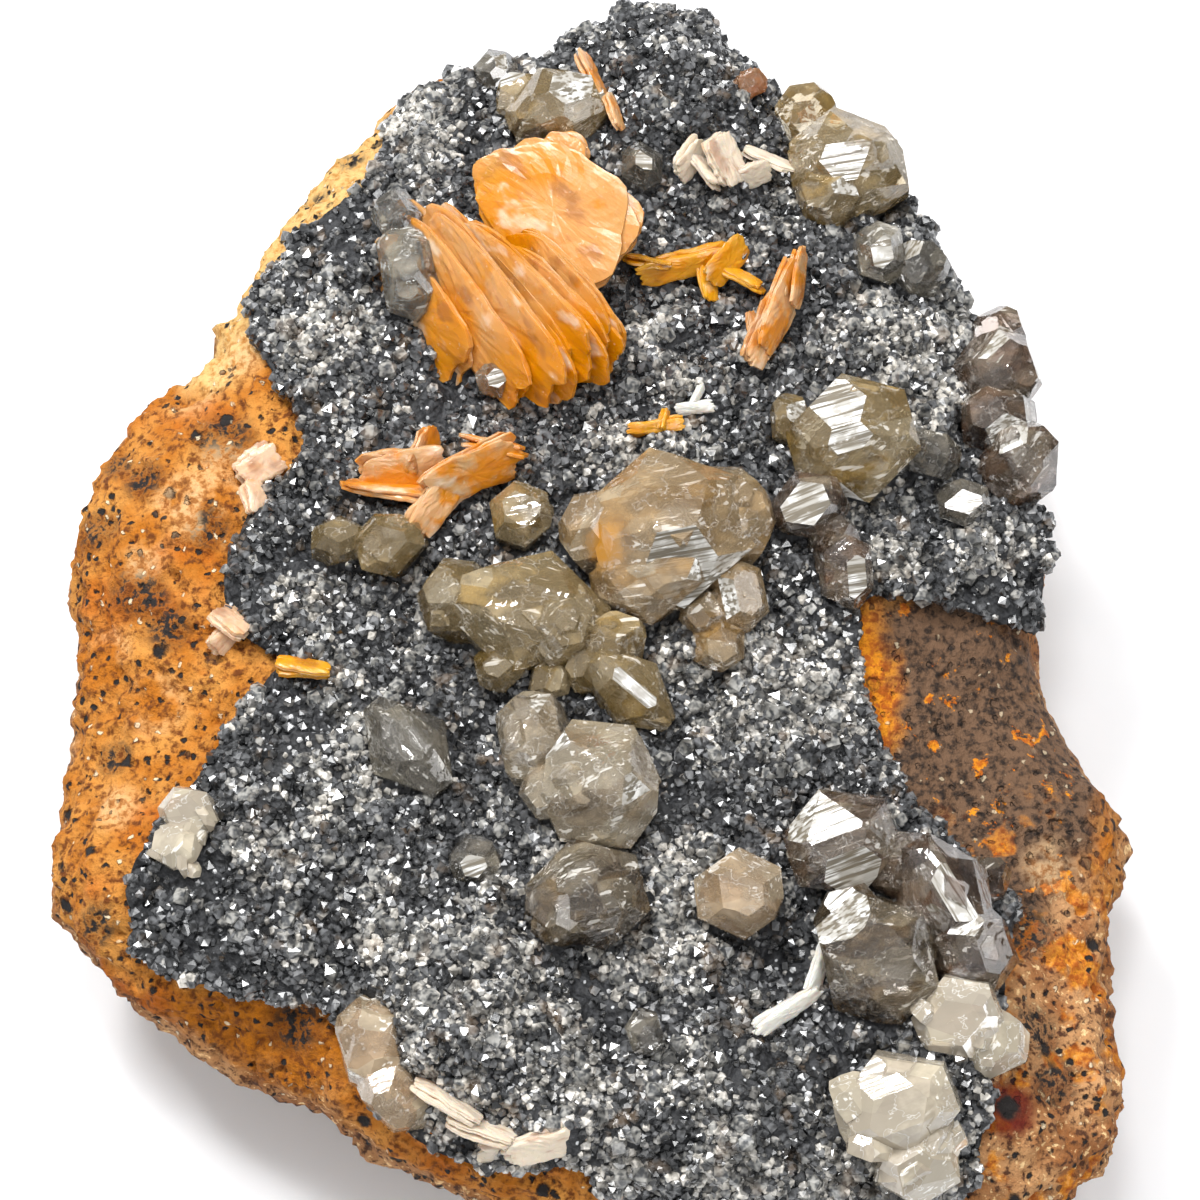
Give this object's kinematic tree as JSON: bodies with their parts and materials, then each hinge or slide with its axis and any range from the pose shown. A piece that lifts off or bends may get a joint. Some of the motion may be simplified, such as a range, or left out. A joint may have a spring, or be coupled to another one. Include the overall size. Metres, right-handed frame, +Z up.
{
  "type": "cerussite specimen",
  "caption": "Cabinet mineral specimen: clear to smoky cerussite crystals and orange barite blades on a dark drusy crust over ochre matrix rock, lying on a flat base.",
  "frame": {"origin": "centre of the bounding box in plan, on the plane of the flat base", "axes": "+Z up, out of the crystal-covered face; +Y from the near edge to the far knob, the longest way; +X to the right of the picture"},
  "size_m": [0.0974, 0.1192, 0.0394],
  "materials": {
    "matrix_rock": "rough ochre iron-stained rock",
    "drusy_crust": "sparkling dark crystal crust",
    "cerussite": "clear to smoky crystal, adamantine",
    "barite": "glossy orange to peach blades",
    "calcite": "white to cream lumps, waxy"
  },
  "bodies": {
    "root": {"barite_brown_knob": "barite", "barite_cream_plates": "barite", "barite_fan": "barite", "barite_left_plates": "barite", "barite_near_edge_plates": "barite", "barite_ochre_plates": "barite", "barite_orange_scrap": "barite", "barite_orange_tongue": "barite", "barite_pale_scrap": "barite", "barite_peach_cluster": "barite", "barite_rosette": "barite", "barite_top_blade": "barite", "barite_white_blade": "barite", "barite_yellow_cluster": "barite", "calcite_front_lump": "calcite", "calcite_left_patch": "calcite", "calcite_near_lumps": "calcite", "cerussite_below_rosette": "cerussite", "cerussite_beside_rosette": "cerussite", "cerussite_big_yellow": "cerussite", "cerussite_brown_front": "cerussite", "cerussite_centre_group": "cerussite", "cerussite_clear_pair": "cerussite", "cerussite_dark_streaked": "cerussite", "cerussite_hollow_chip": "cerussite", "cerussite_large_striated": "cerussite", "cerussite_left_faceted": "cerussite", "cerussite_middle_chain": "cerussite", "cerussite_near_left_plates": "cerussite", "cerussite_olive_front": "cerussite", "cerussite_peach": "cerussite", "cerussite_ridged_brown": "cerussite", "cerussite_right_rim_cluster": "cerussite", "cerussite_right_rim_pair": "cerussite", "cerussite_scarp_chain": "cerussite", "cerussite_small_bright": "cerussite", "cerussite_small_round": "cerussite", "cerussite_smoky_front": "cerussite", "cerussite_teardrop": "cerussite", "cerussite_top_grey": "cerussite", "cerussite_top_left": "cerussite", "cerussite_top_round": "cerussite", "cerussite_white_facet": "cerussite", "drusy_crust": "drusy_crust", "matrix_rock": "matrix_rock"}
  },
  "joints": []
}
